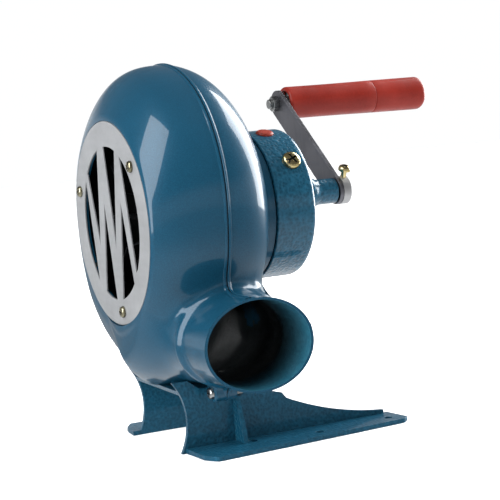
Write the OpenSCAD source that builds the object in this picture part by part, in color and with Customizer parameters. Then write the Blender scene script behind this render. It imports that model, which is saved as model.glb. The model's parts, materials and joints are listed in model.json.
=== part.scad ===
/* [Scroll housing] */
// Height of the fan axis above the bench
fan_z = 151; // [150:0.5:154]
// Parting plane between the two housing shells
seam_x = -65; // [-66:0.5:-64]
// Front face of the intake side
front_x = -112.5; // [-114:0.5:-110]
// Rear face of the scroll, behind the fan
rear_x = -24; // [-26:0.5:-22]
// Scroll radius on the outlet side, just above the tongue
near_r = 80; // [78:0.5:84]
// Scroll radius at the top
top_r = 102; // [98:0.5:106]
// Scroll radius at the bottom
low_r = 110; // [108:0.5:110]
// Radius of the flat ring round the intake
rim_r = 68.5; // [68:0.5:70]
// Radius where the curved back meets the flat rear face
rear_r = 48; // [46:0.5:50]
// Casting wall thickness
wall = 3; // [2.5:0.1:3.5]
// Angle between two scroll sections
sweep_step = 10; // [7.5, 10, 15]

/* [Outlet] */
// Plane of the outlet mouth
mouth_y = -104; // [-115:1:-95]
// Centre of the outlet along the fan axis
mouth_x = -60.3; // [-62:0.1:-58]
// Height of the outlet centre
mouth_z = 74.8; // [73:0.1:76]
// Half width of the oval mouth
mouth_half_w = 37.3; // [34:0.1:38]
// Half height of the oval mouth
mouth_half_h = 29.5; // [27:0.1:30]
// Place of the bead round the outlet pipe
bead_y = -66; // [-72:1:-60]

/* [Intake plate] */
// Radius of the plate
plate_r = 67; // [66:0.5:67.5]
// Sheet thickness
plate_t = 1.2; // [1:0.1:1.5]
// Radius of the slotted area
slot_r = 50.5; // [46:0.5:51]
// Circle of the three plate screws
plate_screw_r = 58.5; // [57:0.5:60]

/* [Gear case] */
// Outer radius of the gear cover
cover_r = 50.5; // [50:0.5:52]
// Height of the gear case centre above the fan axis
cover_rise = 2; // [1.5:0.5:2.5]
// Length of the gear cover
cover_len = 29.4; // [29:0.1:31]
// Length of the bearing boss on the cover
boss_len = 40; // [38:0.5:42]
// Height of the crank axis above the fan axis
crank_rise = 6; // [5:0.5:7]
// Gear module
gear_m = 1; // [1:1:1]
// Teeth on the crank gear
crank_teeth = 42; // [42:1:42]
// Teeth on the idler gear
idler_teeth = 36; // [36:1:36]
// Teeth on both pinions
pinion_teeth = 12; // [12:1:12]

/* [Impeller] */
// Outer radius of the impeller
fan_r = 64; // [58:0.5:65]
// Number of blades
blades = 8; // [6:1:10]
// Blade depth along the axis
blade_w = 54; // [48:1:56]

/* [Crank] */
// Crank radius, shaft axis to grip axis
crank_len = 102; // [96:0.5:112]
// Angle of the arm at rest above the horizontal
crank_angle = 38.5; // [0:0.5:90]
// Width of the arm
arm_w = 19.5; // [18:0.5:21]
// Thickness of the arm
arm_t = 3; // [2.5:0.1:3]
// Length of the whole grip
grip_len = 118.5; // [110:0.5:130]
// Grip radius at the arm end
grip_r = 12; // [11:0.1:13]
// Grip radius at the free end
grip_end_r = 12.6; // [11:0.1:13]

/* [Stand] */
// Distance from the middle plane to the outside of each leg
leg_y = 39.5; // [39:0.5:40]
// Distance from the middle plane to the edge of each foot flange
flange_y = 64; // [62:1:66]
// Sheet thickness of the stand
stand_t = 3; // [2.5:0.1:3]
// Middle bench screw holes, centre to centre across the stand
base_gauge = 116; // [112:1:118]
// Bench screw holes near the intake end, centre to centre
end_gauge = 100; // [98:1:102]
// Place of the end holes along the fan axis
end_hole_x = -45; // [-46:1:-40]

/* [Hidden] */
$fn = 64;

sweep_low = -90;
tongue_a = -50;
ring_out = 2;
throat_a = 266;
throat_r = fan_z - mouth_z - mouth_half_h - ring_out;
saddle_top = fan_z - low_r;

// Gear case, measured along the fan axis
neck_end = rear_x + 8.5;
cover_x = neck_end + 0.5;
cover_end = cover_x + cover_len;
cover_z = fan_z + cover_rise;
crank_z = fan_z + crank_rise;
boss_end = cover_end + boss_len;
fan_pinion_x = neck_end + 3.5;
crank_gear_x = fan_pinion_x + 11;
gear_w = 8;
cover_screw_x = cover_x + 17;
cover_screw_angles = [35.5, 215.5];
plug_tilt = 17;

// Gear geometry
crank_d = gear_m * (crank_teeth + pinion_teeth) / 2;
fan_d = gear_m * (idler_teeth + pinion_teeth) / 2;
idler_dz = (fan_d * fan_d - crank_d * crank_d + crank_rise * crank_rise) / (2 * crank_rise);
idler_y = -sqrt(fan_d * fan_d - idler_dz * idler_dz);
idler_z = fan_z + idler_dz;
pressure = 25;
backlash = 0.14;

// Shafts and bearings
fan_shaft_r = 3.5;
crank_shaft_r = 5;
axle_r = 3;
run_gap = 0.05;
bush_r = 7.2;

// Crank
arm_x = boss_end + 0.6;
hub_x = arm_x + arm_t;
hub_len = 5.8;
hub_r = 10;
spindle_r = 3.5;
grip_x = hub_x + 3.4;
grip_joint = grip_x + grip_len * 0.62;
grip_end = grip_x + grip_len;
grip_y = crank_len * cos(crank_angle);
grip_z = crank_z + crank_len * sin(crank_angle);
head_x = grip_joint - 8;
recess = 5;
grip_joint_r = grip_r + (grip_end_r - grip_r) * 0.62;

// Clamp ears on the seam, as [y, z, dy, dz], where (dy, dz) points at the wall
ear_r = 6;
ear_half = 8;
ears = [
    [-53, 39.5, 0, 1],
    for (a = [164, 225])
        let (r = scroll_r(a) + 5)
        [-r * cos(a), fan_z + r * sin(a), cos(a), -sin(a)]
];

// Bolts between the saddle and the rear shell
stand_bolts_at = [[-50, -20], [-50, 20]];

/* Generic shapes */

module along_x(x, y, z) {
    translate([x, y, z]) rotate([0, 90, 0]) children();
}

module along_y(x, y, z) {
    translate([x, y, z]) rotate([90, 0, 0]) children();
}

module rod_x(x, y, z, r, len) {
    along_x(x, y, z) cylinder(r = r, h = len);
}

module tube_x(x, y, z, r_out, r_in, len) {
    along_x(x, y, z) difference() {
        cylinder(r = r_out, h = len);
        translate([0, 0, -1]) cylinder(r = r_in, h = len + 2);
    }
}

module hex_nut(across, r_hole, h) {
    difference() {
        cylinder(r = across / sqrt(3), h = h, $fn = 6);
        translate([0, 0, -1]) cylinder(r = r_hole, h = h + 2);
    }
}

// Pan-head screw: head at z = 0 upwards, shank downwards, with a crossed recess
module pan_screw(head_r, head_h, shank_r, shank_len) {
    slot = head_r * 0.22;
    difference() {
        rotate_extrude() polygon([
            [0, -shank_len], [shank_r * 0.8, -shank_len], [shank_r, -shank_len + shank_r * 0.3],
            [shank_r, 0], [head_r, 0], [head_r, head_h * 0.35], [head_r * 0.86, head_h * 0.75],
            [head_r * 0.5, head_h], [0, head_h]
        ]);
        for (turn = [0, 90])
            rotate([0, 0, turn])
                translate([-head_r * 0.6, -slot / 2, head_h * 0.45])
                    cube([head_r * 1.2, slot, head_h]);
    }
}

/* Scroll sections */

function scroll_r(a) =
    a < tongue_a ? near_r + (low_r - near_r) * (a - tongue_a) / (sweep_low - tongue_a) :
    a < 0 ? near_r :
    a < 90 ? near_r + (top_r - near_r) * a / 90 :
    top_r + (low_r - top_r) * (1 - pow(1 - (a - 90) / 180, 5.5));

// The front is fuller under the intake than above it
function fullness(a) = a > 180 ? 2 - 0.4 * pow(sin(2 * (a - 180)), 2) : 2;

function depth_power(a) = 0.7 - 0.2 * min(1, max(0, -1.6 * sin(a)));

function front_profile(r, inset, full, power) = [
    for (u = [0 : 10 : 90]) [
        seam_x - (seam_x - front_x - inset) * pow(cos(u), power),
        rim_r - inset * 0.4 + (r - rim_r - inset * 0.6) * pow(sin(u), full)
    ]
];

function rear_profile(r, inset) = [
    for (u = [0 : 10 : 90]) [
        seam_x + (rear_x - seam_x - inset) * sin(u),
        rear_r - inset + (r - rear_r) * cos(u)
    ]
];

function section_points(a, front, inset, r_low) =
    let (
        r = scroll_r(a),
        end_x = front ? front_x + inset : rear_x - inset,
        outline = front
            ? concat(front_profile(r, inset, fullness(a), depth_power(a)),
                [[seam_x, r_low], [end_x, r_low]])
            : concat(rear_profile(r, inset), [[end_x, r_low], [seam_x, r_low]])
    )
    [for (p = outline) [p[0], -p[1] * cos(a), fan_z + p[1] * sin(a)]];

// One solid through a row of sections, closed into a loop or capped at both ends
module loft(rings, loop) {
    n = len(rings[0]);
    m = len(rings);
    sides = [
        for (i = [0 : loop ? m - 1 : m - 2], k = [0 : n - 1])
            let (a = i * n, b = (i + 1) % m * n, next = (k + 1) % n)
            each [[a + k, b + k, a + next], [a + next, b + k, b + next]]
    ];
    caps = [[for (k = [0 : n - 1]) k], [for (k = [n - 1 : -1 : 0]) (m - 1) * n + k]];
    polyhedron([for (ring = rings) each ring], loop ? sides : concat(sides, caps));
}

module scroll_half(front, inset) {
    loft([for (a = [sweep_low : sweep_step : 269]) section_points(a, front, inset, 10 - inset)], true);
}

module oval(grow) {
    scale([mouth_half_w + grow, mouth_half_h + grow, 1]) circle(r = 1, $fn = 72);
}

module oval_tube(y_from, y_to, grow) {
    along_y(mouth_x, y_from, mouth_z) linear_extrude(y_from - y_to) oval(grow);
}

// Throat between the bottom of the scroll and the outlet bead
module throat(front, inset) {
    hull() {
        loft([
            for (a = [throat_a - 2, throat_a]) section_points(a, front, inset + 0.5, throat_r + inset)
        ], false);
        half_space(front) oval_tube(bead_y + 1, bead_y - 0.4, ring_out - 0.4 - inset);
    }
}

module half_space(front) {
    reach = 200;
    intersection() {
        children();
        translate([front ? seam_x - reach : seam_x, -reach, -reach + fan_z])
            cube([reach, 2 * reach, 2 * reach]);
    }
}

module outer_half(front) {
    scroll_half(front, 0);
    throat(front, 0);
    half_space(front) {
        oval_tube(bead_y + 3, mouth_y, 0);
        hull() {
            oval_tube(bead_y + 0.4, bead_y - 1, ring_out);
            oval_tube(bead_y - 2, bead_y - 4, 0.2);
        }
    }
}

module inner_half(front) {
    scroll_half(front, wall);
    throat(front, wall);
    half_space(front) {
        hull() {
            oval_tube(bead_y - 4, bead_y - 5, -2.5);
            oval_tube(mouth_y + 1, mouth_y - 1, -1.5);
        }
        hull() {
            oval_tube(bead_y, bead_y - 1, ring_out - wall - 0.7);
            oval_tube(bead_y - 4, bead_y - 5, -2.5);
        }
    }
}

// Clamp ear at [y, z] with its web reaching towards the wall along (dy, dz)
module ear_solid(ear, x, len) {
    translate([x, ear[0], ear[1]]) rotate([0, 90, 0]) hull() {
        cylinder(r = ear_r, h = len, $fn = 32);
        rotate([0, 0, atan2(ear[2], -ear[3])]) translate([5.5, -ear_r, 0]) cube([1, 2 * ear_r, len]);
    }
}

module front_shell() {
    color("#2c5b7a") difference() {
        union() {
            outer_half(true);
            for (ear = ears) ear_solid(ear, seam_x - ear_half, ear_half);
        }
        inner_half(true);
        rod_x(front_x - 1, 0, fan_z, slot_r + 1, 20);
        rod_x(front_x - 1, 0, fan_z, plate_r + 0.5, 1 + plate_t);
        for (ear = ears) rod_x(seam_x - 30, ear[0], ear[1], 2.6, 60, $fn = 24);
        for (turn = [20, 140, 260])
            rod_x(front_x, plate_screw_r * cos(turn), fan_z + plate_screw_r * sin(turn), 1.9, 12, $fn = 24);
    }
}

module rear_shell() {
    color("#27506d") difference() {
        union() {
            difference() {
                union() {
                    outer_half(false);
                    for (ear = ears) ear_solid(ear, seam_x, ear_half);
                    rod_x(rear_x - wall, 0, cover_z, cover_r - 1, neck_end - rear_x + wall);
                    for (p = stand_bolts_at)
                        translate([p[0], p[1], saddle_top]) cylinder(r = 8, h = 10, $fn = 32);
                }
                inner_half(false);
                rod_x(rear_x, 0, cover_z, cover_r - 5, 40);
            }
            rod_x(rear_x - 14, 0, fan_z, 12, 22);
            rod_x(rear_x - wall, idler_y, idler_z, 6, wall + 10);
            for (turn = cover_screw_angles)
                translate([rear_x - 1, 0, cover_z]) rotate([180 - turn, 0, 0])
                    translate([0, 40, -7]) cube([cover_screw_x - rear_x + 7, 6.2, 14]);
        }
        rod_x(rear_x - 20, 0, fan_z, 8.05, 40);
        rod_x(rear_x - 1, idler_y, idler_z, axle_r + 0.1, 20, $fn = 32);
        for (ear = ears) rod_x(seam_x - 30, ear[0], ear[1], 2.6, 60, $fn = 24);
        for (turn = cover_screw_angles)
            translate([cover_screw_x, 0, cover_z]) rotate([180 - turn, 0, 0])
                along_y(0, 60, 0) cylinder(r = 3.1, h = 30, $fn = 32);
        for (p = stand_bolts_at)
            translate([p[0], p[1], saddle_top - 1]) cylinder(r = 3.1, h = 7, $fn = 32);
    }
}

module shell_clamp_screws() {
    color("#b9b9b4")
        for (ear = ears)
            translate([seam_x - ear_half, ear[0], ear[1]]) rotate([0, -90, 0])
                pan_screw(3.9, 2.8, 2.5, 2 * ear_half + 6);
}

module shell_clamp_nuts() {
    color("#b9b9b4")
        for (ear = ears) along_x(seam_x + ear_half, ear[0], ear[1]) hex_nut(8, 2.5, 4);
}

/* Intake plate */

// Wedge slots as [tip, one end of the wide side, other end], in the plane of the plate
wedge_slots = [
    [[24, -16], [14, 62], [44, 50]],
    [[-6, -16], [6, 62], [-19, 60]],
    [[10, 14], [22, -60], [-2, -62]],
    [[-21, 15], [-9, -62], [-38, -52]],
    [[-39, -30], [-24, 48], [-80, 0]],
    [[31, -41], [43, 31], [80, -10]]
];

module intake_slots() {
    intersection() {
        circle(r = slot_r);
        for (slot = wedge_slots) polygon(slot);
    }
}

// Profile plane to plate plane: x becomes y, y becomes z, thickness runs along x
module upright_sheet(x, t) {
    translate([x, 0, 0]) rotate([90, 0, 90]) linear_extrude(t) children();
}

module intake_plate() {
    color("#c9cdd0") translate([0, 0, fan_z]) upright_sheet(front_x, plate_t) difference() {
        circle(r = plate_r, $fn = 96);
        intake_slots();
        for (turn = [20, 140, 260])
            rotate(turn) translate([plate_screw_r, 0]) circle(r = 2.2, $fn = 32);
    }
}

module intake_plate_screws() {
    color("#c3a24a")
        for (turn = [20, 140, 260])
            translate([front_x, plate_screw_r * cos(turn), fan_z + plate_screw_r * sin(turn)])
                rotate([0, -90, 0]) rotate([0, 0, turn]) pan_screw(3.8, 2.6, 1.85, 8);
}

/* Stand */

// Outline of a leg that ends at x = tail
module leg_outline(tail) {
    difference() {
        polygon([
            [-96, 0], [-96, 47], [-84, 47], [-76, saddle_top], [-40, saddle_top],
            [-30, saddle_top - 7], [-4, 24], [tail - 8, 18], [tail, tail > 50 ? 12 : 8], [tail, 0]
        ]);
        translate([-129.5, 21]) circle(r = 43.5);
        translate([76, 212]) circle(r = 207, $fn = 128);
    }
}

module flange_outline(start, wide, tail) {
    polygon([
        [start, leg_y - stand_t], [start + 1, leg_y + 8], [start + 2, wide - 10], [start + 8, wide],
        [tail - 5, flange_y], [tail, flange_y - 5], [tail - 3, leg_y - stand_t]
    ]);
}

module gusset_outline() {
    difference() {
        polygon([
            [leg_y - 1, 0], [leg_y - 1, saddle_top], [leg_y + 3.5, saddle_top],
            [leg_y + 14, stand_t], [leg_y + 14, 0]
        ]);
        translate([leg_y + 43, saddle_top + 1]) circle(r = 39.5, $fn = 96);
    }
}

module half_stand(start, wide, tail) {
    translate([0, leg_y, 0]) rotate([90, 0, 0]) linear_extrude(stand_t) leg_outline(min(tail, 60));
    linear_extrude(stand_t) flange_outline(start, wide, tail);
    upright_sheet(-53, stand_t) gusset_outline();
}

module stand() {
    color("#1f4a68") difference() {
        union() {
            half_stand(-96, flange_y, 24);
            mirror([0, 1, 0]) half_stand(-89, 75, 67);
            difference() {
                translate([-96, -leg_y + 1, saddle_top - stand_t]) cube([58, 2 * leg_y - 2, stand_t]);
                along_y(-129.5, 60, 21) cylinder(r = 43.5, h = 120);
            }
        }
        for (p = [
            [0, base_gauge / 2], [end_hole_x, end_gauge / 2],
            [0, -base_gauge / 2], [end_hole_x, -end_gauge / 2], [55, -54]
        ])
            translate([p[0], p[1], -1]) cylinder(r = 2.75, h = stand_t + 2);
        for (p = stand_bolts_at)
            translate([p[0], p[1], saddle_top - stand_t - 1]) cylinder(r = 3.3, h = stand_t + 2);
    }
}

module stand_bolts() {
    color("#b9b9b4")
        for (p = stand_bolts_at)
            translate([p[0], p[1], saddle_top - stand_t - 1.2]) {
                translate([0, 0, -4]) cylinder(r = 10 / sqrt(3), h = 4, $fn = 6);
                cylinder(r = 3, h = 9.6);
            }
}

module stand_washers() {
    color("#a9aaa8")
        for (p = stand_bolts_at)
            translate([p[0], p[1], saddle_top - stand_t - 1.2]) difference() {
                cylinder(r = 6.5, h = 1.2);
                translate([0, 0, -1]) cylinder(r = 3.2, h = 4);
            }
}

/* Gear case */

module plug_place(radius) {
    translate([cover_x + 12, 0, cover_z]) rotate([plug_tilt, 0, 0]) translate([0, 0, radius]) children();
}

module gear_cover() {
    edge = 3;
    t = 3.3;
    color("#235273") difference() {
        union() {
            along_x(cover_x, 0, cover_z) rotate_extrude($fn = 96) polygon([
                [0, 0], [cover_r, 0], [cover_r, cover_len - edge],
                for (u = [15 : 15 : 90])
                    [cover_r - edge + edge * cos(u), cover_len - edge + edge * sin(u)],
                [0, cover_len]
            ]);
            along_x(cover_end - 1, 0, crank_z) cylinder(r1 = 12.2, r2 = 9.2, h = boss_len + 1);
        }
        rod_x(cover_x - 1, 0, cover_z, cover_r - t, cover_len - t + 1);
        rod_x(cover_end - t - 1, 0, crank_z, bush_r, boss_len + t + 2);
        for (turn = cover_screw_angles)
            translate([cover_screw_x, 0, cover_z]) rotate([180 - turn, 0, 0])
                along_y(0, 60, 0) cylinder(r = 3.1, h = 20);
        plug_place(40) cylinder(r = 4.1, h = 20);
    }
    color("#235273") tube_x(cover_end - t - 1.6, idler_y, idler_z, 6, axle_r + run_gap, 2.6);
}

module gear_cover_screws() {
    color("#c3a24a")
        for (turn = cover_screw_angles)
            translate([cover_screw_x, 0, cover_z]) rotate([180 - turn, 0, 0])
                translate([0, cover_r + 0.02, 0]) rotate([-90, 0, 0]) rotate([0, 0, 25])
                    pan_screw(6.4, 3.8, 2.9, 10);
}

module oil_plug() {
    color("#a33a2e") plug_place(cover_r - 0.9)
        rotate_extrude() polygon([[0, -4], [3.5, -4], [4, 0], [6, 0], [6, 1.4], [5, 2.4], [0, 2.8]]);
}

module fan_bush() {
    color("#b08d57") tube_x(rear_x - 14, 0, fan_z, 8, fan_shaft_r + run_gap, 22);
}

module crank_bushes() {
    color("#b08d57") {
        tube_x(cover_end - 3.3, 0, crank_z, bush_r, crank_shaft_r + run_gap, 14);
        tube_x(boss_end - 14, 0, crank_z, bush_r, crank_shaft_r + run_gap, 14);
    }
}

module idler_axle() {
    color("#9aa0a4") rod_x(rear_x, idler_y, idler_z, axle_r, cover_end - rear_x - 3.6);
}

module idler_washers() {
    color("#9aa0a4") {
        tube_x(fan_pinion_x - 1.6, idler_y, idler_z, 5.5, axle_r + run_gap, 1);
        tube_x(crank_gear_x + gear_w + 0.9, idler_y, idler_z, 5.5, axle_r + run_gap, 1);
    }
}

/* Gears */

function involute(a) = tan(a) * 180 / PI - a;

function tooth_half_angle(n, r) =
    let (pitch_r = gear_m * n / 2, base_r = pitch_r * cos(pressure))
    90 / n - backlash / pitch_r * 180 / PI / 2
    + involute(pressure) - involute(acos(min(1, base_r / r)));

module gear_outline(n) {
    pitch_r = gear_m * n / 2;
    root_r = pitch_r - 1.25 * gear_m;
    tip_r = pitch_r + 0.95 * gear_m;
    flank_r = max(root_r + 0.25 * gear_m, pitch_r * cos(pressure));
    flank = [for (k = [0 : 3]) flank_r + (tip_r - flank_r) * k / 3];
    polygon([
        for (i = [0 : n - 1], side = [-1, 1], k = [0 : 4])
            let (
                step = side < 0 ? k : 4 - k,
                r = step == 0 ? root_r : flank[step - 1],
                a = 360 * i / n + side * tooth_half_angle(n, max(r, flank_r))
            )
            [r * cos(a), r * sin(a)]
    ]);
}

// Turn that points a tooth, or a gap when half is 0.5, along the direction (dy, dz)
function mesh_turn(dy, dz, n, half) = atan2(dy, -dz) + half * 360 / n;

module spur_gear(x, y, z, n, turn, bore_r, len) {
    along_x(x, y, z) linear_extrude(len) difference() {
        rotate(turn) gear_outline(n);
        circle(r = bore_r);
    }
}

module crank_gear() {
    color("#8f8a7c") difference() {
        spur_gear(crank_gear_x, 0, crank_z, crank_teeth,
            mesh_turn(idler_y, idler_z - crank_z, crank_teeth, 0), crank_shaft_r, gear_w);
        for (turn = [0 : 60 : 300])
            translate([crank_gear_x - 1, 0, crank_z]) rotate([turn, 0, 0]) rod_x(0, 13, 0, 3.2, gear_w + 2);
    }
}

module idler_pinion() {
    color("#8f8a7c") spur_gear(crank_gear_x - 3.5, idler_y, idler_z, pinion_teeth,
        mesh_turn(-idler_y, crank_z - idler_z, pinion_teeth, 0.5), axle_r + run_gap, gear_w + 4);
}

module idler_gear() {
    color("#8f8a7c") spur_gear(fan_pinion_x + 0.3, idler_y, idler_z, idler_teeth,
        mesh_turn(-idler_y, fan_z - idler_z, idler_teeth, 0), axle_r + run_gap,
        crank_gear_x - 3.5 - fan_pinion_x - 0.3);
}

module fan_pinion() {
    color("#8f8a7c") spur_gear(fan_pinion_x, 0, fan_z, pinion_teeth,
        mesh_turn(idler_y, idler_z - fan_z, pinion_teeth, 0.5), fan_shaft_r, gear_w);
}

/* Impeller */

hub_start = rear_x - 16.5;
disc_x = hub_start - 1.5;

module fan_shaft() {
    color("#9aa0a4") rod_x(hub_start - 31, 0, fan_z, fan_shaft_r, fan_pinion_x + gear_w - hub_start + 31);
}

module impeller_hub() {
    color("#5d6265") tube_x(hub_start - 22, 0, fan_z, 10, fan_shaft_r, 22);
}

module impeller_disc() {
    color("#3a3f43") tube_x(disc_x, 0, fan_z, fan_r, 10, 1.5);
}

module impeller_blades() {
    color("#3a3f43")
        for (i = [0 : blades - 1])
            translate([0, 0, fan_z]) rotate([i * 360 / blades, 0, 0])
                translate([disc_x, 0, 0]) rotate([90, 0, 0]) linear_extrude(1.4, center = true)
                    polygon([
                        [0, 14], [0, fan_r], [-blade_w + 8, fan_r],
                        [-blade_w, fan_r - 12], [-blade_w, 26], [-22, 14]
                    ]);
}

module impeller_nut() {
    color("#9aa0a4") along_x(hub_start - 27.5, 0, fan_z) hex_nut(11, fan_shaft_r, 5.5);
}

/* Crank */

module crank_shaft() {
    color("#9aa0a4") rod_x(crank_gear_x, 0, crank_z, crank_shaft_r, hub_x + hub_len - crank_gear_x);
}

module crank_arm() {
    color("#74767d") translate([arm_x, 0, crank_z]) rotate([crank_angle, 0, 0]) difference() {
        union() {
            translate([0, 0, -arm_w / 2]) cube([arm_t, crank_len, arm_w]);
            rod_x(0, 0, 0, arm_w / 2, arm_t);
            rod_x(0, crank_len, 0, arm_w / 2, arm_t);
        }
        rod_x(-1, 0, 0, crank_shaft_r, arm_t + 2);
        rod_x(-1, crank_len, 0, spindle_r, arm_t + 2);
    }
}

module crank_hub() {
    color("#8d9093") difference() {
        tube_x(hub_x, 0, crank_z, hub_r, crank_shaft_r, hub_len);
        set_screw_place(0) cylinder(r = 2, h = 20, $fn = 32);
    }
}

module set_screw_place(radius) {
    translate([hub_x + hub_len / 2, 0, crank_z]) rotate([24, 0, 0]) translate([0, 0, radius]) children();
}

module hub_set_screw() {
    color("#c3a24a") set_screw_place(15.2) pan_screw(4.4, 3.6, 2, 10.1);
}

module grip_spindle() {
    color("#9aa0a4") {
        rod_x(arm_x - 7, grip_y, grip_z, spindle_r, head_x - arm_x + 7);
        rod_x(head_x, grip_y, grip_z, 7, 4);
    }
}

module spindle_nut() {
    color("#9a9c9b") along_x(arm_x - 4.5, grip_y, grip_z) hex_nut(10, spindle_r, 4.5);
}

module spindle_jam_nut() {
    color("#9a9c9b") along_x(hub_x, grip_y, grip_z) hex_nut(10, spindle_r, 4.5);
}

module grip_spacer() {
    color("#9a9c9b") tube_x(hub_x + 4.5, grip_y, grip_z, 5, spindle_r, 2.5);
}

module grip_washer() {
    color("#9a9c9b") tube_x(hub_x + 7, grip_y, grip_z, 8, spindle_r, 1.3);
}

module grip_sleeve() {
    color("#a5372c") along_x(grip_x, grip_y, grip_z) difference() {
        rotate_extrude($fn = 64) polygon([
            [0, 0], [grip_r - 1, 0], [grip_r, 1], [grip_joint_r, grip_joint - grip_x], [0, grip_joint - grip_x]
        ]);
        translate([0, 0, -1]) cylinder(r = 9, h = recess + 1);
        translate([0, 0, -1]) cylinder(r = spindle_r + 0.06, h = grip_len);
        translate([0, 0, head_x - grip_x - 0.4]) cylinder(r = 8, h = 20);
    }
}

module grip_cap() {
    len = grip_end - grip_joint;
    round_r = 4.5;
    color("#a5372c") along_x(grip_joint, grip_y, grip_z) difference() {
        rotate_extrude($fn = 64) polygon([
            [0, -2], [7.8, -2], [7.8, 0], [grip_joint_r, 0],
            for (u = [0 : 15 : 90])
                [grip_end_r - round_r + round_r * cos(u), len - round_r + round_r * sin(u)],
            [0, len]
        ]);
        translate([0, 0, -3]) cylinder(r = 5, h = 12);
    }
}

front_shell();
rear_shell();
shell_clamp_screws();
shell_clamp_nuts();
intake_plate();
intake_plate_screws();
stand();
stand_bolts();
stand_washers();
gear_cover();
gear_cover_screws();
oil_plug();
fan_bush();
crank_bushes();
idler_axle();
idler_washers();
fan_shaft();
impeller_hub();
impeller_disc();
impeller_blades();
impeller_nut();
fan_pinion();
idler_gear();
idler_pinion();
crank_shaft();
crank_gear();
crank_hub();
hub_set_screw();
crank_arm();
grip_spindle();
spindle_nut();
spindle_jam_nut();
grip_spacer();
grip_washer();
grip_sleeve();
grip_cap();
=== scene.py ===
import bpy
import bmesh
import json
import math
import numpy as np
from mathutils import Matrix, Vector

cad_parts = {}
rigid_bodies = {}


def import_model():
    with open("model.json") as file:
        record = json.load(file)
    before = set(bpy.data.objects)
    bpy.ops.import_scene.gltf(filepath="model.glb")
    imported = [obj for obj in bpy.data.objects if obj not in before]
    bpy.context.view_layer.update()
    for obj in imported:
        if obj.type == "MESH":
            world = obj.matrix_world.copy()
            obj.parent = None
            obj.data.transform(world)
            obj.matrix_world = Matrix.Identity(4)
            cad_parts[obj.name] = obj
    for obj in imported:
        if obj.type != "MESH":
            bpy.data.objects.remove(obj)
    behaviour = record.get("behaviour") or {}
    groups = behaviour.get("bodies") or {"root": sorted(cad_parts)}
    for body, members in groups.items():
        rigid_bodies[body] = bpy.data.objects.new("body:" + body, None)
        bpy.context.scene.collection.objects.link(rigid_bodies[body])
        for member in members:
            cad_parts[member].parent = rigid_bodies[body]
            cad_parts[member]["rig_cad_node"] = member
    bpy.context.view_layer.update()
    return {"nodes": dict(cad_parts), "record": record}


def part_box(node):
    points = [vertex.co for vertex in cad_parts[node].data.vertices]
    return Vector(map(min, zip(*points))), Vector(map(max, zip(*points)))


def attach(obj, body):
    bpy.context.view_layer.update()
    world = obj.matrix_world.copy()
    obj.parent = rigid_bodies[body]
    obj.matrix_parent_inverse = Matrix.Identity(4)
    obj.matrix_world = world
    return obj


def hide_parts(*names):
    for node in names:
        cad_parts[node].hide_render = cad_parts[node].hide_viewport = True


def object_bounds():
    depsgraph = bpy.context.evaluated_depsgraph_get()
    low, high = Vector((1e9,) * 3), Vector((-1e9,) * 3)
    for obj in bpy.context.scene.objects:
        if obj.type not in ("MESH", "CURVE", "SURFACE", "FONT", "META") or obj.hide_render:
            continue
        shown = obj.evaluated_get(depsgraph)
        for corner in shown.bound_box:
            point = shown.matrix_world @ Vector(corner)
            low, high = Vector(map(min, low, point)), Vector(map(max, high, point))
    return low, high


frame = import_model()
nodes = frame["nodes"]
MM = 0.001

# The housing's driving dimensions, in millimetres, the same as in the CAD source.
# X runs along the shafts, -Y is the way the air leaves, and angles turn from -Y up to +Z about the fan shaft.
FAN_Z, SEAM_X, FRONT_X, REAR_X = 151.0, -65.0, -112.5, -24.0
NEAR_R, TOP_R, LOW_R, RIM_R, REAR_R = 80.0, 102.0, 110.0, 68.5, 48.0
TONGUE_A = -50
WALL = 3.0
MOUTH_X, MOUTH_Y, MOUTH_Z, HALF_W, HALF_H = -60.3, -104.0, 74.8, 37.3, 29.5
BEAD_Y, BEAD_R = -66.0, 2.6
PLATE_R, PLATE_T, SLOT_R = 67.0, 1.2, 50.5
COVER_R, COVER_Z, NECK_END = 50.5, 153.0, -15.5
COVER_X, COVER_LEN, COVER_WALL = -15, 29.4, 3.3
CRANK_Z = 157.0
FAN_BORE_R, BOSS_BORE_R = 8.05, 7.24
GRIP_R, GRIP_HOLE_R = 12.0, 8.9

# The camera: its angles in degrees, what it looks at and how far away it is in millimetres, and its lens
AZIMUTH, ELEVATION, ROLL = -25.11, 5.598, -4.418
TARGET, DISTANCE, LENS = (-40.62, -57.79, 128.74), 952.5, 106.75


# ---------------------------------------------------------------- camera
def add_camera():
    """The camera stands where the photo's stood."""
    azimuth, elevation, roll = (math.radians(v) for v in (AZIMUTH, ELEVATION, ROLL))
    level = math.cos(elevation)
    back = Vector((math.sin(azimuth) * level, -math.cos(azimuth) * level, math.sin(elevation)))
    right = Vector((math.cos(azimuth), math.sin(azimuth), 0))
    up = right.cross(-back)
    side = right * math.cos(roll) + up * math.sin(roll)
    top = up * math.cos(roll) - right * math.sin(roll)
    data = bpy.data.cameras.new("camera")
    data.sensor_width = 36
    data.lens = LENS
    data.clip_end = 20
    camera = bpy.data.objects.new("camera", data)
    bpy.context.scene.collection.objects.link(camera)
    matrix = Matrix((side, top, back)).transposed().to_4x4()
    matrix.translation = (Vector(TARGET) + back * DISTANCE) * MM
    camera.matrix_world = matrix
    bpy.context.scene.camera = camera


# ---------------------------------------------------------------- materials
def scaled(colour, factor):
    """A colour made darker or lighter."""
    return [min(1, v * factor) for v in colour]


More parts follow.
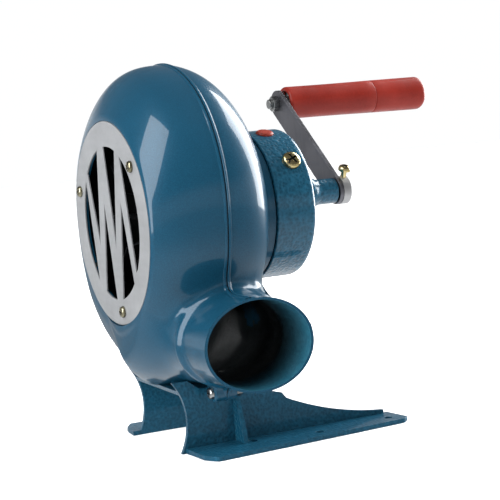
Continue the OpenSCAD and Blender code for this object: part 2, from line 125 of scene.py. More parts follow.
class Nodes:
    """A short way to wire one node material."""

    NAMES = {"color": "Base Color", "rough": "Roughness", "normal": "Normal", "metal": "Metallic",
             "coat": "Coat Weight", "coat_rough": "Coat Roughness", "gloss": "Specular IOR Level"}

    def __init__(self, name):
        self.material = bpy.data.materials.new(name)
        self.material.use_nodes = True
        self.tree = self.material.node_tree
        self.shader = self.tree.nodes["Principled BSDF"]
        self.place = self.add("ShaderNodeTexCoord").outputs["Object"]

    def add(self, kind, **inputs):
        node = self.tree.nodes.new(kind)
        for key, value in inputs.items():
            key = key.replace("_", " ")
            if hasattr(value, "is_output"):
                self.tree.links.new(value, node.inputs[key])
            else:
                node.inputs[key].default_value = value
        return node

    def noise(self, scale, detail=2.0, rough=0.5, stretch=None):
        place = self.place
        if stretch:
            place = self.add("ShaderNodeMapping", Vector=place, Scale=stretch).outputs[0]
        noise = self.add("ShaderNodeTexNoise", Vector=place, Scale=scale, Detail=detail, Roughness=rough)
        return noise.outputs[0]

    def cells(self, scale):
        node = self.add("ShaderNodeTexVoronoi", Vector=self.place, Scale=scale)
        node.feature = "SMOOTH_F1"
        return node.outputs["Distance"]

    def ramp(self, value, stops):
        """A colour ramp. A stop's colour may be one grey value in a list."""
        node = self.tree.nodes.new("ShaderNodeValToRGB")
        self.tree.links.new(value, node.inputs[0])
        elements = node.color_ramp.elements
        while len(elements) < len(stops):
            elements.new(0.5)
        for element, (place, colour) in zip(elements, stops):
            element.position = place
            element.color = (*colour, 1) if len(colour) == 3 else (colour[0],) * 3 + (1,)
        return node.outputs[0]

    def mix(self, factor, a, b):
        node = self.tree.nodes.new("ShaderNodeMix")
        node.data_type = "RGBA"
        for key, value in ((0, factor), (6, a), (7, b)):
            if hasattr(value, "is_output"):
                self.tree.links.new(value, node.inputs[key])
            else:
                node.inputs[key].default_value = value if key == 0 else (*value, 1)
        return node.outputs[2]

    def bump(self, height, strength, distance, under=None):
        node = self.add("ShaderNodeBump", Height=height, Strength=strength, Distance=distance)
        if under is not None:
            self.tree.links.new(under, node.inputs["Normal"])
        return node.outputs[0]

    def out(self, **sockets):
        for key, value in sockets.items():
            target = self.shader.inputs[self.NAMES[key]]
            if hasattr(value, "is_output"):
                self.tree.links.new(value, target)
            else:
                target.default_value = value
        return self.material


def paint(name, dark, light, rough, coat, grain, pits=None):
    """Glossy metallic paint. With pits, it has the cells of a hammer finish."""
    m = Nodes(name)
    tone = m.ramp(m.noise(9, 2), [(0.25, dark), (0.75, light)])
    fleck = m.ramp(m.noise(1500, 2, 0.7), [(0.42, scaled(dark, 0.75)), (0.62, scaled(light, 1.5))])
    color = m.mix(grain, tone, fleck)
    normal = m.bump(m.noise(120, 2), 0.05, 0.0005, m.bump(m.noise(340, 2), 0.05, 0.0004))
    if pits:
        height = m.ramp(m.cells(pits), [(0.1, [0.0]), (0.8, [1.0])])
        normal = m.bump(height, 0.9, 0.0004, normal)
        shade = m.ramp(m.cells(pits), [(0.15, scaled(dark, 0.75)), (0.75, scaled(light, 1.35))])
        color = m.mix(0.5, color, shade)
    dust = m.ramp(m.noise(60, 5, 0.65), [(0.45, [rough - 0.04]), (0.75, [rough + 0.08])])
    return m.out(color=color, rough=dust, normal=normal, metal=0.12, coat=coat, coat_rough=0.04, gloss=0.06)


# Over this depth the colour inside fades from the blue paint to the near-black painted shade of the hollow
SHADE_FADE_DEPTH = 42  # how far in the paint reaches, in millimetres


def inside_paint():
    """Inside the castings: blue paint at the outlet that fades, a little way in, to near-black painted shade
    standing for the dark of the hollow.
    """
    m = Nodes("housing_inside")
    split = m.tree.nodes.new("ShaderNodeSeparateXYZ")
    m.tree.links.new(m.place, split.inputs[0])
    depth = m.add("ShaderNodeMapRange", Value=split.outputs[1])
    depth.inputs["From Min"].default_value = MOUTH_Y * MM
    depth.inputs["From Max"].default_value = (MOUTH_Y + SHADE_FADE_DEPTH) * MM
    grain = m.noise(500, 3, 0.6)
    # near-black painted shade: deeper in, the inside is coloured as dark as the hollow's shadow
    depth_shade = m.ramp(grain, [(0.35, (0.002, 0.004, 0.005)), (0.7, (0.006, 0.011, 0.014))])
    blue = m.ramp(grain, [(0.35, (0.007, 0.070, 0.115)), (0.7, (0.014, 0.105, 0.155))])
    rough = m.ramp(m.noise(90, 3), [(0.4, [0.5]), (0.7, [0.65])])
    normal = m.bump(grain, 0.3, 0.0004)
    return m.out(color=m.mix(depth.outputs[0], blue, depth_shade), rough=rough, normal=normal, metal=0.2)


def metal(name, dark, light, rough, streak=None, scratch=0.2, shine=1.0):
    """Bare or plated metal. streak stretches its fine scratches along one axis."""
    m = Nodes(name)
    color = m.ramp(m.noise(45, 4, 0.6), [(0.35, dark), (0.7, light)])
    fine = m.noise(260, 3, 0.6, streak)
    color = m.mix(0.18, color, m.ramp(fine, [(0.3, scaled(dark, 0.6)), (0.7, light)]))
    grime = m.ramp(m.noise(90, 5, 0.6), [(0.4, [rough - 0.06]), (0.75, [rough + 0.14])])
    return m.out(color=color, rough=grime, normal=m.bump(fine, scratch, 0.0002), metal=shine)


def plastic(name, dark, light, rough):
    """Plastic with fine specks, scuffs and slight waves."""
    m = Nodes(name)
    color = m.ramp(m.noise(22, 4, 0.55), [(0.3, dark), (0.7, light)])
    speck = m.ramp(m.noise(700, 2), [(0.35, scaled(dark, 0.7)), (0.7, scaled(light, 1.3))])
    color = m.mix(0.12, color, speck)
    scuff = m.ramp(m.noise(70, 5, 0.6), [(0.4, [rough - 0.04]), (0.7, [rough + 0.12])])
    normal = m.bump(m.noise(520, 2), 0.1, 0.0003, m.bump(m.noise(40, 2), 0.05, 0.001))
    return m.out(color=color, rough=scuff, normal=normal, metal=0.0, gloss=0.13)


def make_materials():
    """Each look by name: the two ends of its colour, its roughness, then what is special to it."""
    look = {}

    def add(kind, name, *values):
        look[name] = kind(name, *values)

    add(paint, "housing_paint", (0.0026, 0.026, 0.049), (0.0052, 0.039, 0.071), 0.34, 0.36, 0.25)
    look["housing_inside"] = inside_paint()
    add(paint, "hammer_paint", (0.0036, 0.034, 0.061), (0.009, 0.060, 0.102), 0.32, 0.45, 0.3, 520)
    add(paint, "stand_paint", (0.0033, 0.031, 0.056), (0.0065, 0.049, 0.085), 0.36, 0.35, 0.3, 560)
    add(metal, "plate_steel", (0.135, 0.14, 0.146), (0.165, 0.171, 0.178), 0.5, (1, 0.15, 1), 0.08, 0.2)
    add(metal, "yellow_zinc", (0.34, 0.27, 0.11), (0.66, 0.56, 0.33), 0.24)
    add(metal, "zinc_fastener", (0.15, 0.155, 0.155), (0.36, 0.37, 0.37), 0.32)
    add(metal, "arm_steel", (0.095, 0.095, 0.106), (0.145, 0.145, 0.163), 0.46, (1, 1, 0.2), 0.2)
    add(metal, "hub_steel", (0.30, 0.30, 0.305), (0.45, 0.45, 0.455), 0.55)
    add(metal, "shaft_steel", (0.30, 0.31, 0.32), (0.52, 0.53, 0.54), 0.30)
    # near-black, used as painted shade in the screw recesses and on the floor of the seam groove
    add(plastic, "recess_black", (0.004, 0.005, 0.006), (0.012, 0.013, 0.015), 0.6)
    add(metal, "plate_zinc", (0.11, 0.10, 0.06), (0.30, 0.28, 0.20), 0.26)
    add(metal, "gear_steel", (0.24, 0.23, 0.20), (0.42, 0.40, 0.36), 0.38)
    add(metal, "bronze", (0.38, 0.24, 0.10), (0.62, 0.44, 0.22), 0.40)
    add(metal, "impeller_alloy", (0.012, 0.014, 0.016), (0.03, 0.032, 0.036), 0.55)
    add(plastic, "plug_red", (0.12, 0.013, 0.008), (0.20, 0.026, 0.016), 0.40)
    add(plastic, "grip_red", (0.118, 0.0095, 0.006), (0.182, 0.0172, 0.0112), 0.36)
    return look


# ---------------------------------------------------------------- the housing's shape
def scroll_radius(a):
    """The scroll's outer radius at an angle, growing from the tongue round to the outlet."""
    grow = 0.5 * (a + np.sqrt(a * a + 64.0)) - 0.6
    top = NEAR_R + (TOP_R - NEAR_R) * np.clip(grow, 0, 90) / 90
    low = TOP_R + (LOW_R - TOP_R) * (1 - (1 - np.clip((a - 90) / 180, 0, 1)) ** 5.5)
    room = 1.5 * np.exp(-((a - 97) / 34) ** 2)  # the raised lip stands in this much at the top
    tongue = NEAR_R + (LOW_R - NEAR_R) * (TONGUE_A - a) / (TONGUE_A + 90)
    return np.where(a < TONGUE_A, tongue, np.where(a < 90, top, low)) - room


def outline_radius(a, x):
    """The radius at an angle and a place along the shaft, with the rounded flanks of both shells."""
    r = scroll_radius(a)
    full = np.where(a > 180, 2 - 0.4 * np.sin(np.radians(2 * a)) ** 2, 2.0)
    power = 0.7 - 0.2 * np.clip(-1.6 * np.sin(np.radians(a)), 0, 1)
    t = np.clip((SEAM_X - x) / (SEAM_X - FRONT_X), 0, 0.9999)
    s = np.clip((x - SEAM_X) / (REAR_X - SEAM_X), 0, 0.9999)
    front = RIM_R + (r - RIM_R) * np.maximum(1e-6, 1 - t ** (2 / power)) ** (full / 2)
    rear = REAR_R + (r - REAR_R) * np.sqrt(1 - s * s)
    return np.where(x < SEAM_X, front, rear)


def smooth_min(a, b, k):
    """The smaller of two distances, with a fillet about k wide where they meet."""
    h = np.clip(k - np.abs(a - b), 0, None) / k
    return np.minimum(a, b) - h * h * k / 4


def scroll_field(p):
    """About the distance to the scroll's surface, below zero inside it. Every field here is of this kind."""
    x, y, z = p[..., 0], p[..., 1], p[..., 2] - FAN_Z
    rho = np.hypot(y, z)
    a = np.degrees(np.arctan2(z, -y))
    a = np.where(a < -90, a + 360, a)
    step = 0.5
    r = outline_radius(a, x)
    slope = (outline_radius(a, x + step) - outline_radius(a, x - step)) / (2 * step)
    side = (rho - r) / np.sqrt(1 + np.minimum(slope * slope, 30))
    return -smooth_min(-side, -np.maximum(FRONT_X - x, x - REAR_X), 2.0)


def duct_field(p):
    """The outlet: an ellipse at the mouth that turns squarer and wider as it runs into the scroll."""
    x, y, z = p[..., 0], p[..., 1], p[..., 2]
    t = np.clip((y - BEAD_Y) / (10 - BEAD_Y), 0, 1)
    ease = t * t * (3 - 2 * t)
    inside = np.clip((y - BEAD_Y + 1.5) / 3, 0, 1)
    wide = HALF_W + 1.4 * inside + 6.5 * ease
    high = HALF_H + 1.4 * inside + 2.8 * ease
    mid_x = MOUTH_X - 5.5 * ease
    mid_z = MOUTH_Z + 0.6 * ease
    power = 2 + 0.5 * ease
    u, v = np.abs(x - mid_x) / wide, np.abs(z - mid_z) / high
    n = (u ** power + v ** power + 1e-9) ** (1 / power)
    side = (n - 1) * np.minimum(wide, high)
    return -smooth_min(-side, 8.0 - y, 16.0)


def bead_field(p):
    """The raised ring round the outlet."""
    x, y, z = p[..., 0] - MOUTH_X, p[..., 1] - BEAD_Y, p[..., 2] - MOUTH_Z
    n = np.sqrt((x / HALF_W) ** 2 + (z / HALF_H) ** 2 + 1e-9)
    return np.hypot((n - 1) * 32, y) - BEAD_R


def ear_places():
    """The clamp ears: the y and z of each eye, and the direction from it into the housing."""
    places = [(-53.0, 39.5, 0.0, 1.0)]
    for angle in (164.0, 225.0):
        reach, turn = scroll_radius(np.array(angle)) + 4.6, math.radians(angle)
        into = (math.cos(turn), -math.sin(turn))
        places.append((-reach * into[0], FAN_Z - reach * into[1], *into))
    return places


EARS = ear_places()
EAR_R, EAR_HALF_WIDTH, EAR_REACH = 6.0, 8.0, 7


def ear_field(p):
    """The clamp ears, each on both sides of the seam."""
    ears = []
    for y, z, dy, dz in EARS:
        t = np.clip((p[..., 1] - y) * dy + (p[..., 2] - z) * dz, 0, EAR_REACH)
        d = np.hypot(p[..., 1] - y - t * dy, p[..., 2] - z - t * dz) - EAR_R
        ears.append(-smooth_min(-d, EAR_HALF_WIDTH - np.abs(p[..., 0] - SEAM_X), 1.2))
    return np.minimum.reduce(ears)


def core_field(p):
    """Scroll and outlet, held back to 2 mm in front of the intake face where they meet."""
    blend = smooth_min(scroll_field(p), duct_field(p), 17.0)
    return -smooth_min(-blend, p[..., 0] - FRONT_X + 2.0, 3.0)


def outer_field(p):
    """The outside of both castings, with the ring and the ears."""
    body = smooth_min(core_field(p), bead_field(p), 2.5)
    return smooth_min(body, ear_field(p), 4.0)


def inner_field(p):
    """The hollow, with a wall that thins towards the outlet's rim."""
    return core_field(p) + np.interp(p[..., 1], (MOUTH_Y, BEAD_Y - 5, BEAD_Y), (1.5, 2.5, WALL))


def gradient(field, points, h, axes=(0, 1, 2)):
    """The field's slope at each point, along the given axes."""
    steps = np.eye(3) * h
    return np.stack([(field(points + steps[k]) - field(points - steps[k])) / (2 * h) for k in axes], -1)


def surface_mesh(name, field, low, high, step):
    """A closed mesh of the surface where the field is zero, with its points exactly on it."""
    axes = [np.arange(a, b + step, step) for a, b in zip(low, high)]
    grid = np.stack(np.meshgrid(*axes, indexing="ij"), -1)
    value = field(grid)
    for axis in range(3):
        for end in (0, -1):
            value[tuple(end if k == axis else slice(None) for k in range(3))] = 1.0
    inside = value < 0
    shape = [n - 1 for n in value.shape]
    corners = [(i, j, k) for i in (0, 1) for j in (0, 1) for k in (0, 1)]

    def corner(array, c):
        return array[c[0]:c[0] + shape[0], c[1]:c[1] + shape[1], c[2]:c[2] + shape[2]]

    count = sum(corner(inside, c).astype(np.int8) for c in corners)
    active = (count > 0) & (count < 8)
    index = -np.ones(shape, np.int64)
    index[active] = np.arange(active.sum())
    total = np.zeros((active.sum(), 3))
    hits = np.zeros(active.sum())
    for c in corners:
        for axis in range(3):
            if c[axis]:
                continue
            d = tuple(v + (k == axis) for k, v in enumerate(c))
            a, b = corner(value, c)[active], corner(value, d)[active]
            cut = (a < 0) != (b < 0)
            t = np.where(cut, a / np.where(cut, a - b, 1), 0)
            point = np.tile(np.array(c, float), (len(a), 1))
            point[:, axis] += t
            total += np.where(cut[:, None], point, 0)
            hits += cut
    cell = np.argwhere(active)
    points = (cell + total / hits[:, None]) * step + np.array(low)
    faces = []
    for axis in range(3):
        u, v = (axis + 1) % 3, (axis + 2) % 3
        first = tuple(slice(None, -1) if k == axis else slice(1, -1) for k in range(3))
        second = tuple(slice(1, None) if k == axis else slice(1, -1) for k in range(3))
        a, b = inside[first], inside[second]
        for flip, chosen in ((False, a & ~b), (True, b & ~a)):
            at = np.argwhere(chosen)
            at[:, u] += 1
            at[:, v] += 1
            quad = []
            for du, dv in ((-1, -1), (0, -1), (0, 0), (-1, 0)):
                q = at.copy()
                q[:, u] += du
                q[:, v] += dv
                quad.append(index[q[:, 0], q[:, 1], q[:, 2]])
            quad = np.stack(quad, 1)
            faces.append(quad[:, ::-1] if flip else quad)
    faces = np.concatenate(faces)

    def settle(points, rounds):
        """Moves points down the field's slope onto its zero surface, by part of a cell at most."""
        for _ in range(rounds):
            g = gradient(field, points, 0.05)
            move = field(points)[:, None] * g / np.maximum((g * g).sum(1), 0.15)[:, None]
            length = np.linalg.norm(move, axis=1, keepdims=True)
            points = points - move * np.minimum(1, 0.6 * step / np.maximum(length, 1e-9))
        return points

    points = settle(points, 3)
    for _ in range(3):
        total = np.zeros_like(points)
        hits = np.zeros(len(points))
        for k in range(4):
            a, b = faces[:, k], faces[:, (k + 1) % 4]
            np.add.at(total, a, points[b])
            np.add.at(total, b, points[a])
            np.add.at(hits, a, 1)
            np.add.at(hits, b, 1)
        points = settle(0.5 * points + 0.5 * total / hits[:, None], 2)
    mesh = bpy.data.meshes.new(name)
    mesh.from_pydata((points * MM).tolist(), [], faces.tolist())
    mesh.update()
    return mesh


# ---------------------------------------------------------------- mesh helpers
def new_object(name, mesh):
    """A mesh as an object in the scene."""
    piece = bpy.data.objects.new(name, mesh)
    bpy.context.scene.collection.objects.link(piece)
    return piece


def bake(piece):
    """Applies the object's modifiers to a new mesh."""
    bpy.context.view_layer.update()
    depsgraph = bpy.context.evaluated_depsgraph_get()
    mesh = bpy.data.meshes.new_from_object(piece.evaluated_get(depsgraph), depsgraph=depsgraph)
    piece.modifiers.clear()
    piece.data = mesh
    return piece


def cut(piece, other, operation="DIFFERENCE"):
    """Cuts, joins or intersects a piece with another one, which is used up."""
    modifier = piece.modifiers.new("cut", "BOOLEAN")
    modifier.operation = operation
    modifier.object = other
    modifier.solver = "MANIFOLD"
    bake(piece)
    bpy.data.objects.remove(other)


def block(low, high):
    """A box between two corners, in millimetres."""
    bm = bmesh.new()
    bmesh.ops.create_cube(bm, size=1)
    for v in bm.verts:
        v.co = Vector([(low[k] + (high[k] - low[k]) * (v.co[k] + 0.5)) * MM for k in range(3)])
    mesh = bpy.data.meshes.new("block")
    bm.to_mesh(mesh)
    bm.free()
    return new_object("block", mesh)


def closed_mesh(name, points, faces):
    """A mesh with its points joined, its open ends filled and its faces turned outwards."""
    mesh = bpy.data.meshes.new(name)
    mesh.from_pydata(points, [], faces)
    bm = bmesh.new()
    bm.from_mesh(mesh)
    bmesh.ops.remove_doubles(bm, verts=bm.verts, dist=1e-6)
    bmesh.ops.holes_fill(bm, edges=[e for e in bm.edges if len(e.link_faces) == 1], sides=0)
    bmesh.ops.recalc_face_normals(bm, faces=bm.faces)
    bm.to_mesh(mesh)
    bm.free()
    return mesh


def lathe(name, profile, y, z, steps=96):
    """Turns a profile of (x, radius) points, in millimetres, about a line along X."""
    rings, faces, points = len(profile), [], []
    for x, r in profile:
        for i in range(steps):
            t = 2 * math.pi * i / steps
            points.append((x * MM, (y + r * math.cos(t)) * MM, (z + r * math.sin(t)) * MM))
    for k in range(rings - 1):
        for i in range(steps):
            j = (i + 1) % steps
            faces.append((k * steps + i, k * steps + j, (k + 1) * steps + j, (k + 1) * steps + i))
    return new_object(name, closed_mesh(name, points, faces))


def smooth(piece, angle=32):
    """Smooth shading, with a hard edge where two faces meet at more than the angle."""
    bm = bmesh.new()
    bm.from_mesh(piece.data)
    for face in bm.faces:
        face.smooth = True
    for edge in bm.edges:
        edge.smooth = len(edge.link_faces) == 2 and edge.calc_face_angle(3.2) < math.radians(angle)
    bm.to_mesh(piece.data)
    bm.free()
    return piece


def finish(piece, body, slot, material, *replaced):
    """Gives a piece its material and its body, and hides the CAD nodes that it stands for. The slot argument
    is not used.
    """
    piece.data.materials.clear()
    piece.data.materials.append(MATERIALS[material])
    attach(piece, body)
    if replaced:
        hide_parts(*replaced)
    return piece


BODY = {n: b for b, names in frame["record"]["behaviour"]["bodies"].items() for n in names}
SLOT = {s["node"]: s["material_slot"] for s in frame["record"]["subparts"]}


def polish(node, bevel, material=None, angle=30):
    """A copy of a CAD node with its edges rounded, as a casting, sheet or turned piece has them."""
    mesh = nodes[node].data.copy()
    bm = bmesh.new()
    bm.from_mesh(mesh)
    bmesh.ops.remove_doubles(bm, verts=bm.verts, dist=2e-6)
    bmesh.ops.dissolve_limit(bm, angle_limit=math.radians(1.0), verts=bm.verts, edges=bm.edges)
    bm.to_mesh(mesh)
    bm.free()
    mesh.name = node + "_skin"
    piece = new_object(node + "_skin", mesh)
    modifier = piece.modifiers.new("round", "BEVEL")
    modifier.width = bevel * MM
    modifier.segments = 3
    modifier.limit_method = "ANGLE"
    modifier.angle_limit = math.radians(angle)
    modifier.use_clamp_overlap = True
    weight = piece.modifiers.new("normals", "WEIGHTED_NORMAL")
    weight.keep_sharp = True
    for polygon in mesh.polygons:
        polygon.use_smooth = True
    bake(piece)
    return finish(piece, BODY[node], SLOT[node], material or SLOT[node], node)


def separate_parts(bm):
    """The points of each unconnected part of a mesh."""
    left, parts = set(bm.verts), []
    while left:
        stack, part = [left.pop()], []
        while stack:
            v = stack.pop()
            part.append(v)
            for e in v.link_edges:
                w = e.other_vert(v)
                if w in left:
                    left.discard(w)
                    stack.append(w)
        parts.append(part)
    return parts


def darken_recess(piece):
    """The crossed recess of each screw is coloured near-black: painted shade in the recess."""
    piece.data.materials.append(MATERIALS["recess_black"])
    bm = bmesh.new()
    bm.from_mesh(piece.data)
    for part in separate_parts(bm):
        points = np.array([v.co[:] for v in part])
        spread = points - points.mean(0)
        axis = np.linalg.svd(spread, full_matrices=False)[2][0]
        along = spread @ axis
        radius = np.linalg.norm(spread - np.outer(along, axis), axis=1)
        if along[radius.argmax()] < 0:
            axis = -axis
        rim = points[radius > radius.max() * 0.9].mean(0)
        top, wide = ((points - rim) @ axis).max(), radius.max()
        for face in {f for v in part for f in v.link_faces}:
            centre = np.array(face.calc_center_median()[:]) - rim
            up = centre @ axis
            out = np.linalg.norm(centre - up * axis)
            # faces inside the recess take the near-black painted shade
            if out < wide * 0.64 and 0 < up < top * 0.86:
                face.material_index = 1
    bm.to_mesh(piece.data)
    bm.free()


# ---------------------------------------------------------------- pieces
def seam_loop(shell):
    """The points of the outer surface where the two shells meet, in order, in millimetres."""
    bm = bmesh.new()
    bm.from_mesh(shell)
    found = bmesh.ops.bisect_plane(bm, geom=bm.verts[:] + bm.edges[:] + bm.faces[:],
                                   plane_co=(SEAM_X * MM, 0, 0), plane_no=(1, 0, 0))
    edges = [g for g in found["geom_cut"] if isinstance(g, bmesh.types.BMEdge)]
    links = {}
    for e in edges:
        for a, b in (e.verts, reversed(e.verts)):
            links.setdefault(a, []).append(b)
    loops, left = [], set(links)
    while left:
        here = min(left, key=lambda v: (v.co.y, v.co.z))
        left.discard(here)
        loop = [here]
        while True:
            step = [v for v in links[here] if v in left]
            if not step:
                break
            here = step[0]
            left.discard(here)
            loop.append(here)
        loops.append(np.array([v.co[:] for v in loop]) / MM)
    bm.free()
    return max(loops, key=len)


# Cross-sections swept along the joint: millimetres along X from it, and up from the surface
LIP_SECTIONS = {
    "seam_lip_front": [(-0.4, -0.9), (-0.4, 0.5), (-0.6, 0.68), (-1.1, 0.62),
                       (-1.9, 0.3), (-2.6, -0.15), (-2.6, -0.9)],
    "seam_lip_rear": [(0.4, -0.9), (0.4, 0.9), (0.6, 1.15), (1.3, 1.15),
                      (1.75, 0.9), (2.1, 0.3), (2.9, -0.2), (2.9, -0.9)],
    "seam_groove_shade": [(-0.5, -0.9), (-0.5, 0.1), (0.6, 0.1), (0.6, -0.9)],
}


def seam_lips(shell):
    """The two thin raised lips that run along the joint, with a narrow groove between them, and a near-black
    strip on the groove's floor as painted shade.
    """
    line = seam_loop(shell)
    line = line[line[:, 1] > MOUTH_Y + 0.6]
    for _ in range(6):
        line[1:-1] = 0.5 * line[1:-1] + 0.25 * (line[:-2] + line[2:])
    away = gradient(outer_field, line, 0.2, (1, 2))
    away /= np.linalg.norm(away, axis=1, keepdims=True)
    for _ in range(4):
        away[1:-1] = 0.5 * away[1:-1] + 0.25 * (away[:-2] + away[2:])
    pieces = []
    for name, section in LIP_SECTIONS.items():
        points, faces, n, m = [], [], len(section), len(line)
        for p, out in zip(line, away):
            for dx, up in section:
                points.append(((SEAM_X + dx) * MM, (p[1] + out[0] * up) * MM, (p[2] + out[1] * up) * MM))
        for i in range(m - 1):
            for k in range(n):
                j = (k + 1) % n
                faces.append((i * n + k, i * n + j, (i + 1) * n + j, (i + 1) * n + k))
        faces += [tuple(range(n)), tuple((m - 1) * n + k for k in reversed(range(n)))]
        pieces.append(smooth(new_object(name, closed_mesh(name, points, faces)), 50))
    return pieces


def paint_inside(piece):
    """The inner faces of a casting get the rough inside look, coloured darker with painted shade away from
    the outlet.
    """
    piece.data.materials.append(MATERIALS["housing_inside"])
    centres = np.array([f.center[:] for f in piece.data.polygons]) / MM
    inside = (np.abs(inner_field(centres)) < 0.6).astype(int)
    piece.data.polygons.foreach_set("material_index", inside.tolist())


# Where the castings' two surfaces are looked for, as two corners of a box, and the cells they are found with
OUTER_BOX, OUTER_CELL = ((-118, -112, 28), (-18, 122, 258)), 1.8
INNER_BOX, INNER_CELL = ((-118, -116, 36), (-18, 118, 262)), 2.5


def build_shells():
    """Both castings: one hollow body, cut out for the plate and the fan shaft and parted at the seam."""
    outer = surface_mesh("outer", outer_field, *OUTER_BOX, OUTER_CELL)
    inner = surface_mesh("inner", inner_field, *INNER_BOX, INNER_CELL)
    lips = seam_lips(outer)
    whole = new_object("whole", outer)
    collar = COVER_R + 0.5
    neck = [(REAR_X - 6, 0), (REAR_X - 6, collar), (REAR_X + 0.4, collar)]
    for u in np.linspace(0.25, math.pi / 2, 6):
        neck.append((REAR_X + 2.4 - 2 * math.cos(u), collar - 1.5 * math.sin(u)))
    neck += [(NECK_END - 0.5, COVER_R - 1), (NECK_END, COVER_R - 1.5), (NECK_END, 0)]
    cut(whole, lathe("neck", neck, 0, COVER_Z, 144), "UNION")
    cut(whole, new_object("hollow", inner))
    seat, seat_r, eye_r = FRONT_X + PLATE_T, PLATE_R + 0.5, SLOT_R + 1
    recess = [(FRONT_X - 5, 0), (FRONT_X - 5, seat_r), (seat, seat_r), (seat, 0)]
    eye = [(FRONT_X - 5, 0), (FRONT_X - 5, eye_r), (FRONT_X + 12, eye_r), (FRONT_X + 12, 0)]
    cut(whole, lathe("recess", recess, 0, FAN_Z))
    cut(whole, lathe("eye", eye, 0, FAN_Z))
    cut(whole, lathe("bore", [(-50, 0), (-50, FAN_BORE_R), (0, FAN_BORE_R), (0, 0)], 0, FAN_Z))
    cut(whole, block((-140, MOUTH_Y, 0), (0, 140, 300)), "INTERSECT")
    rear = new_object("rear_casting", whole.data.copy())
    cut(whole, block((-140, -140, 0), (SEAM_X, 140, 300)), "INTERSECT")
    cut(rear, block((SEAM_X, -140, 0), (0, 140, 300)), "INTERSECT")
    whole.name = "front_casting"
    paint_inside(finish(smooth(whole), "blower", "housing_paint", "housing_paint", "front_shell"))
    paint_inside(finish(smooth(rear), "blower", "housing_paint", "housing_paint", "rear_shell"))
    for lip in lips:
        # the strip in the groove takes the near-black painted shade; the lips take the housing paint
        look = "recess_black" if lip.name == "seam_groove_shade" else "housing_paint"
        finish(lip, "blower", "housing_paint", look)


def build_grip():
    """The grip tapers out to its end, sags a little between, and is split by a fine line."""
    low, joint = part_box("grip_sleeve")
    cap_low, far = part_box("grip_cap")
    y, z = (low.y + joint.y) / 2 / MM, (low.z + joint.z) / 2 / MM
    x0, x1, x2 = low.x / MM, joint.x / MM, far.x / MM
    r0, r2 = GRIP_R, (far.z - cap_low.z) / 2 / MM
    r1 = r0 + (r2 - r0) * 0.62
    split, sag, near_round, far_round = 0.8, 0.18, 2.2, 4.8
    recess, way_r = 5, 3.6
    sleeve = [(x1, 4), (x1, r1 - 0.5), (x1 - 0.35, r1 - 0.12)]
    for t in np.linspace(0, 1, 13):
        x = x1 - split - t * (x1 - x0 - split - 2.4)
        sleeve.append((x, r1 + (r0 - r1) * t - sag * math.sin(math.pi * t)))
    for u in np.linspace(0.15, math.pi / 2, 7):
        sleeve.append((x0 + near_round * (1 - math.sin(u)), r0 - near_round * (1 - math.cos(u))))
    sleeve += [(x0 + 0.3, GRIP_HOLE_R + 0.3), (x0 + 0.9, GRIP_HOLE_R)]
    sleeve += [(x0 + recess, GRIP_HOLE_R), (x0 + recess, way_r), (x1, way_r)]
    cap = [(x1, 4), (x1, r1 - 0.5), (x1 + 0.35, r1 - 0.12)]
    for t in np.linspace(0, 1, 8):
        cap.append((x1 + split + t * (x2 - x1 - split - far_round), r1 + (r2 - r1) * t))
    for u in np.linspace(0.15, math.pi / 2, 10):
        cap.append((x2 - far_round * (1 - math.sin(u)), r2 - far_round * (1 - math.cos(u))))
    cap += [(x2 - 0.05, r2 - far_round - 0.4), (x2, 0.001)]
    for name, profile, node in (("grip_body", sleeve, "grip_sleeve"), ("grip_end", cap, "grip_cap")):
        finish(smooth(lathe(name, profile, y, z), 40), "grip", "grip_red", "grip_red", node)


def build_gear_case():
    """A cup with a rounded edge, and on it a boss that steps down to the bearing's end."""
    low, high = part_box("gear_cover")
    x0, x1 = low.x / MM, high.x / MM
    end, inner_r = COVER_X + COVER_LEN, COVER_R - COVER_WALL
    edge, chamfer = 4.2, 0.6
    shell = [(x0, inner_r), (x0, COVER_R - chamfer), (x0 + chamfer, COVER_R)]
    shell += [(x0 + chamfer + t * (end - x0 - chamfer - edge), COVER_R) for t in np.linspace(0.04, 1, 12)]
    for u in np.linspace(0.12, math.pi / 2, 9):
        shell.append((end - edge + edge * math.sin(u), COVER_R - edge + edge * math.cos(u)))
    shell += [(end, COVER_R - 9), (end, 4), (end - COVER_WALL, 4), (end - COVER_WALL, inner_r), (x0, inner_r)]
    case = lathe("gear_case", shell, 0, COVER_Z, 160)
    boss_r, tip_r, bore_r, fillet = 12.2, 8.8, 7.25, 3.8
    mid_r, half_step = (boss_r + tip_r) / 2, (boss_r - tip_r) / 2
    boss = [(end - 1, bore_r), (end - 1, boss_r + fillet)]
    for u in np.linspace(0.1, math.pi / 2, 8):
        boss.append((end + fillet * (1 - math.cos(u)), boss_r + fillet * (1 - math.sin(u))))
    boss += [(end + 4 + t * 14, boss_r) for t in np.linspace(0, 1, 5)]
    boss += [(end + 18 + t * 9, mid_r + half_step * math.cos(math.pi * t)) for t in np.linspace(0.1, 1, 9)]
    boss += [(x1 - 0.4, tip_r), (x1, tip_r - 0.4), (x1, bore_r), (end - 1, bore_r)]
    cut(case, lathe("boss", boss, 0, CRANK_Z, 96), "UNION")
    shaft_way = [(end - 8, 0), (end - 8, BOSS_BORE_R), (x1 + 2, BOSS_BORE_R), (x1 + 2, 0)]
    cut(case, lathe("shaft_way", shaft_way, 0, CRANK_Z, 96))
    finish(smooth(case, 30), "blower", "hammer_paint", "hammer_paint", "gear_cover")


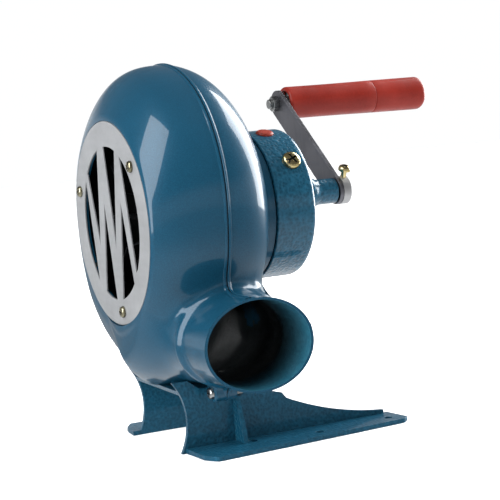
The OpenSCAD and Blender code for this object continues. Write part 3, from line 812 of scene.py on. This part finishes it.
def build_pieces():
    """The shells, gear case and grip are built afresh. The rest are CAD pieces, most with rounded edges."""
    build_shells()
    build_gear_case()
    build_grip()
    polish("intake_plate", 0.35)
    polish("stand", 0.9)
    polish("crank_arm", 0.45)
    polish("crank_hub", 0.8, "hub_steel")
    darken_recess(polish("intake_plate_screws", 0.12, "plate_zinc", angle=40))
    for node in ("gear_cover_screws", "hub_set_screw", "shell_clamp_screws"):
        darken_recess(polish(node, 0.15, angle=40))
    for node in ("spindle_nut", "spindle_jam_nut", "shell_clamp_nuts", "stand_bolts",
                 "oil_plug", "grip_washer", "grip_spacer", "stand_washers"):
        polish(node, 0.25)
    polish("grip_spindle", 0.4, "zinc_fastener")
    for name, piece in nodes.items():
        if piece.get("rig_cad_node") and not piece.hide_render:
            piece.data.materials.clear()
            piece.data.materials.append(MATERIALS[SLOT[name]])
            for polygon in piece.data.polygons:
                polygon.material_index = 0


# ---------------------------------------------------------------- studio
def add_lamp(name, kind, power, place, towards):
    """A lamp that shines along minus the given direction."""
    data = bpy.data.lights.new(name, kind)
    data.energy = power
    lamp = bpy.data.objects.new(name, data)
    bpy.context.scene.collection.objects.link(lamp)
    lamp.location = place
    lamp.rotation_euler = towards.to_track_quat("Z", "Y").to_euler()
    return lamp


def add_softbox(name, azimuth, elevation, spread, power):
    """A wide soft light far away, kept out of reflections. spread is how wide it looks, in degrees."""
    a, e = math.radians(azimuth), math.radians(elevation)
    towards = Vector((math.cos(a) * math.cos(e), math.sin(a) * math.cos(e), math.sin(e)))
    lamp = add_lamp(name, "SUN", power, towards * 2, towards)
    lamp.data.angle = math.radians(spread)
    lamp.visible_glossy = False


def add_area(name, place, target, wide, tall, power):
    """A panel of light that shows in the paint as a bright patch."""
    lamp = add_lamp(name, "AREA", power, place, Vector(place) - Vector(target))
    lamp.data.shape = "RECTANGLE"
    lamp.data.size = wide
    lamp.data.size_y = tall


def build_floor():
    """A white floor that doesn't mirror in the paint."""
    bm = bmesh.new()
    bmesh.ops.create_grid(bm, x_segments=8, y_segments=8, size=4)
    mesh = bpy.data.meshes.new("floor")
    bm.to_mesh(mesh)
    bm.free()
    floor = new_object("floor", mesh)
    floor.location.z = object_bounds()[0][2] - 0.0002
    m = Nodes("floor_white")
    m.out(color=m.ramp(m.noise(3, 2), [(0.3, (0.90, 0.90, 0.90)), (0.7, (0.92, 0.92, 0.92))]), rough=0.9)
    floor.data.materials.append(m.material)
    floor.visible_glossy = False


# The surroundings, as (height of the direction from -1 to 1 mapped to 0 to 1, grey). They are white at the
# horizon, grey above it and bright below, where only reflections see them.
SKY = ((0.0, 1.7), (0.22, 1.6), (0.37, 0.5), (0.43, 0.4), (0.465, 1.0), (0.55, 1.0), (0.62, 0.2), (1.0, 0.2))


def build_world():
    """The surroundings: greys that change with height."""
    world = bpy.data.worlds.new("studio")
    bpy.context.scene.world = world
    world.use_nodes = True
    tree = world.node_tree
    split = tree.nodes.new("ShaderNodeSeparateXYZ")
    tree.links.new(tree.nodes.new("ShaderNodeTexCoord").outputs["Generated"], split.inputs[0])
    height = tree.nodes.new("ShaderNodeMapRange")
    height.inputs["From Min"].default_value = -1.0
    tree.links.new(split.outputs[2], height.inputs["Value"])
    ramp = tree.nodes.new("ShaderNodeValToRGB")
    tree.links.new(height.outputs[0], ramp.inputs[0])
    stops = ramp.color_ramp.elements
    stops[0].position, stops[1].position = SKY[0][0], SKY[-1][0]
    for place, _ in SKY[1:-1]:
        stops.new(place)
    for stop, (_, grey) in zip(stops, SKY):
        stop.color = (grey, grey * 1.01, grey * 1.02, 1)
    tree.links.new(ramp.outputs[0], tree.nodes["Background"].inputs[0])


def build_studio():
    """The floor, the surroundings and the four lamps."""
    build_floor()
    bpy.context.scene.view_settings.view_transform = "Standard"
    build_world()
    add_softbox("above", 10, 55, 80, 3.0)
    add_softbox("right", 2, 15, 60, 5.0)
    add_area("window", (1.53, 0.47, 0.80), (0, 0, 0.80), 1.25, 1.6, 85)
    add_area("left", (-1.227, -0.329, 0.80), (-0.10, 0, 0.16), 0.9, 2.0, 62)


MATERIALS = make_materials()
add_camera()
build_pieces()
build_studio()
